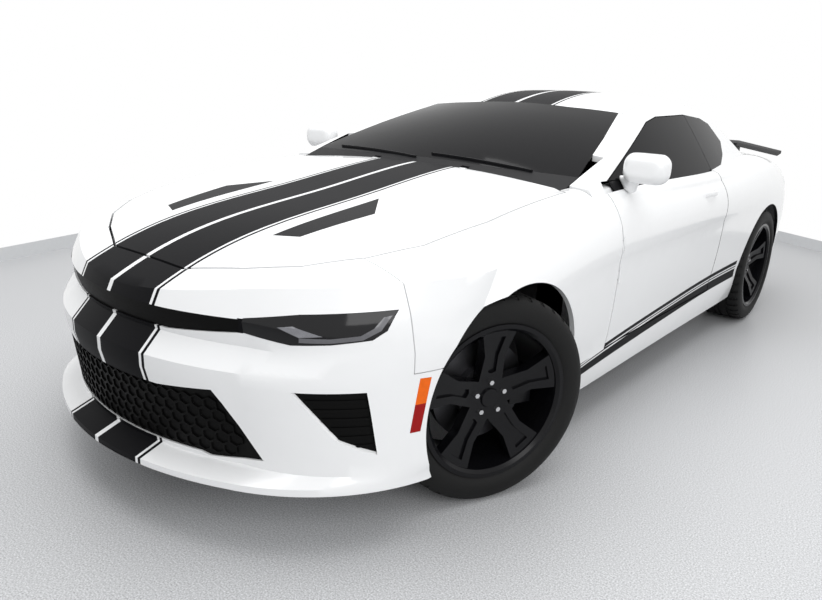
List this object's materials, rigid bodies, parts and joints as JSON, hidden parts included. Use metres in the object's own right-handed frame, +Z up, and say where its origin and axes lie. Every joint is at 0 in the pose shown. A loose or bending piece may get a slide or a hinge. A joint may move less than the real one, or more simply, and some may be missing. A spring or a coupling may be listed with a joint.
{
  "type": "two-door muscle car",
  "caption": "Low two-door coupe with a long hood, short deck, pedestal spoiler, wide grille, spoked wheels, opening doors, hood and decklid, and steered front wheels.",
  "frame": {"origin": "on the ground below the middle of the car, half way along it", "axes": "+X to the car's left, +Y to its tail, +Z up"},
  "size_m": [2.063, 4.7837, 1.3401],
  "materials": {
    "paint": "gloss white with satin black stripes",
    "glass": "dark tint",
    "lamp_lens": "clear",
    "tail_lens": "red lens",
    "marker_lens": "amber lens",
    "black_plastic": "satin black",
    "cabin_plastic": "grained",
    "upholstery": "stitched",
    "structure": "primer black",
    "engine_metal": "cast",
    "radiator_metal": "finned",
    "exhaust_steel": "brushed",
    "wheel_black": "gloss black",
    "tyre": "rubber",
    "disc_iron": "machined"
  },
  "bodies": {
    "car_body": {"body_side_left": "paint", "body_side_right": "paint", "boot_floor": "structure", "cowl": "black_plastic", "dashboard": "cabin_plastic", "deck_panel": "paint", "drive_shafts": "engine_metal", "engine": "engine_metal", "exhaust": "exhaust_steel", "fender_left": "paint", "fender_right": "paint", "firewall": "structure", "floor_pan": "structure", "front_fascia": "paint", "front_rails": "structure", "front_seats": "upholstery", "front_subframe": "structure", "headlamps": "lamp_lens", "knuckles_rear": "engine_metal", "lower_grille": "black_plastic", "quarter_glass": "glass", "radiator": "radiator_metal", "rear_bulkhead": "structure", "rear_fascia": "paint", "rear_seat": "upholstery", "rear_subframe": "structure", "rear_window": "glass", "roof": "paint", "side_ducts": "black_plastic", "side_markers": "marker_lens", "steering_wheel": "cabin_plastic", "tail_lamps": "tail_lens", "upper_grille": "black_plastic", "windshield": "glass"},
    "hood": {"hood": "paint", "hood_vents": "black_plastic"},
    "decklid": {"decklid": "paint", "spoiler": "black_plastic"},
    "door_left": {"door_left": "paint", "door_glass_left": "glass", "mirror_left": "paint"},
    "door_right": {"door_right": "paint", "door_glass_right": "glass", "mirror_right": "paint"},
    "steer_left": {"knuckle_front_left": "engine_metal"},
    "steer_right": {"knuckle_front_right": "engine_metal"},
    "road_wheel_front_left": {"wheel_front_left": "wheel_black", "tyre_front_left": "tyre", "brake_disc_front_left": "disc_iron"},
    "road_wheel_front_right": {"wheel_front_right": "wheel_black", "tyre_front_right": "tyre", "brake_disc_front_right": "disc_iron"},
    "road_wheel_rear_left": {"wheel_rear_left": "wheel_black", "tyre_rear_left": "tyre", "brake_disc_rear_left": "disc_iron"},
    "road_wheel_rear_right": {"wheel_rear_right": "wheel_black", "tyre_rear_right": "tyre", "brake_disc_rear_right": "disc_iron"}
  },
  "joints": [
    {"name": "steer_left", "type": "hinge", "parent": "car_body", "child": "steer_left", "pos_m": [0.738, -1.462, 0.351], "axis": [0, 0, 1], "range_deg": [-12, 58]},
    {"name": "steer_right", "type": "hinge", "parent": "car_body", "child": "steer_right", "pos_m": [-0.738, -1.462, 0.351], "axis": [0, 0, 1], "range_deg": [-12, 58]},
    {"name": "wheel_spin_front_left", "type": "hinge", "parent": "steer_left", "child": "road_wheel_front_left", "pos_m": [0.79507, -1.48622, 0.351], "axis": [0.9205, -0.3907, 0], "continuous": true},
    {"name": "wheel_spin_front_right", "type": "hinge", "parent": "steer_right", "child": "road_wheel_front_right", "pos_m": [-0.79507, -1.43778, 0.351], "axis": [0.9205, -0.3907, 0], "continuous": true},
    {"name": "wheel_spin_rear_left", "type": "hinge", "parent": "car_body", "child": "road_wheel_rear_left", "pos_m": [0.803, 1.349, 0.35], "axis": [1, 0, 0], "continuous": true},
    {"name": "wheel_spin_rear_right", "type": "hinge", "parent": "car_body", "child": "road_wheel_rear_right", "pos_m": [-0.803, 1.349, 0.35], "axis": [1, 0, 0], "continuous": true},
    {"name": "hood_hinge", "type": "hinge", "parent": "car_body", "child": "hood", "pos_m": [0, -0.897, 0.985], "axis": [-1, 0, 0], "range_deg": [0, 50]},
    {"name": "decklid_hinge", "type": "hinge", "parent": "car_body", "child": "decklid", "pos_m": [0, 1.597, 1.01], "axis": [1, 0, 0], "range_deg": [0, 65]},
    {"name": "door_left_hinge", "type": "hinge", "parent": "car_body", "child": "door_left", "pos_m": [0.919, -0.744, 0.6], "axis": [0, 0, -1], "range_deg": [0, 65]},
    {"name": "door_right_hinge", "type": "hinge", "parent": "car_body", "child": "door_right", "pos_m": [-0.919, -0.744, 0.6], "axis": [0, 0, 1], "range_deg": [0, 65]}
  ],
  "couplings": [
    {"joint": "steer_right", "follows": "steer_left", "ratio": 1}
  ]
}
